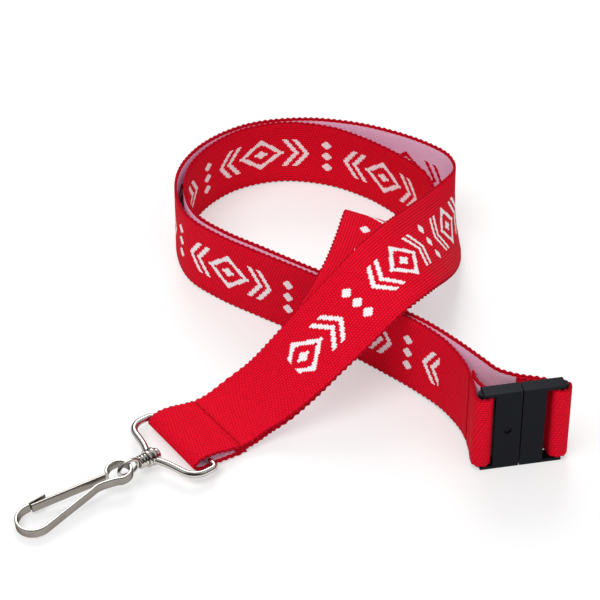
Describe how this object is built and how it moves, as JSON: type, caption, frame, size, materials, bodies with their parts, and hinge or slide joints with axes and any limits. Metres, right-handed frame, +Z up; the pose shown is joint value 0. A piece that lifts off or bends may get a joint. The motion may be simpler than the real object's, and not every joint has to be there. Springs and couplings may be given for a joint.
{
  "type": "lanyard",
  "caption": "Woven neck lanyard with a breakaway side buckle, a D ring, a swivel and a spring hook, laid in a loose loop on a table.",
  "frame": {"origin": "centre of the underside of the buckle socket, on the table", "axes": "+Z up from the table; the swivel chain points nearly along -X towards the hook"},
  "size_m": [0.1927, 0.164, 0.0374],
  "materials": {
    "webbing": "woven, red face, pale back",
    "thread": "sewing thread",
    "buckle_plastic": "fine satin",
    "nickel": "bright nickel plate"
  },
  "bodies": {
    "strap": {"front_strap": "webbing", "rear_strap": "webbing", "ring_seam": "thread", "front_end_seam": "thread", "buckle_socket": "buckle_plastic"},
    "plug": {"buckle_plug": "buckle_plastic", "rear_strap_end": "webbing", "rear_end_seam": "thread"},
    "ring": {"d_ring": "nickel"},
    "swivel": {"swivel_pin": "nickel", "swivel_washer": "nickel", "swivel_eye": "nickel"},
    "hook": {"hook_body": "nickel"},
    "gate": {"hook_gate": "nickel"}
  },
  "joints": [
    {"name": "buckle_release", "type": "slide", "parent": "strap", "child": "plug", "axis": [0.829, -0.5592, 0], "range_m": [0, 0.009]},
    {"name": "ring_tilt", "type": "hinge", "parent": "strap", "child": "ring", "pos_m": [-0.06, 0.0683, 0.00295], "axis": [0.0698, 0.9976, 0], "range_deg": [0, 120]},
    {"name": "hook_swivel", "type": "hinge", "parent": "ring", "child": "swivel", "pos_m": [-0.07154, 0.06911, 0.00376], "axis": [-0.9951, 0.0696, 0.0698], "continuous": true},
    {"name": "hook_swing", "type": "hinge", "parent": "swivel", "child": "hook", "pos_m": [-0.08309, 0.06991, 0.00457], "axis": [-0.093, 0.0065, 0.9956], "range_deg": [-80, 80]},
    {"name": "gate_press", "type": "hinge", "parent": "hook", "child": "gate", "pos_m": [-0.0874, 0.0714, 0.00416], "axis": [-0.093, 0.0065, 0.9956], "range_deg": [0, 12], "stiffness_Nm_per_rad": 0.05}
  ]
}
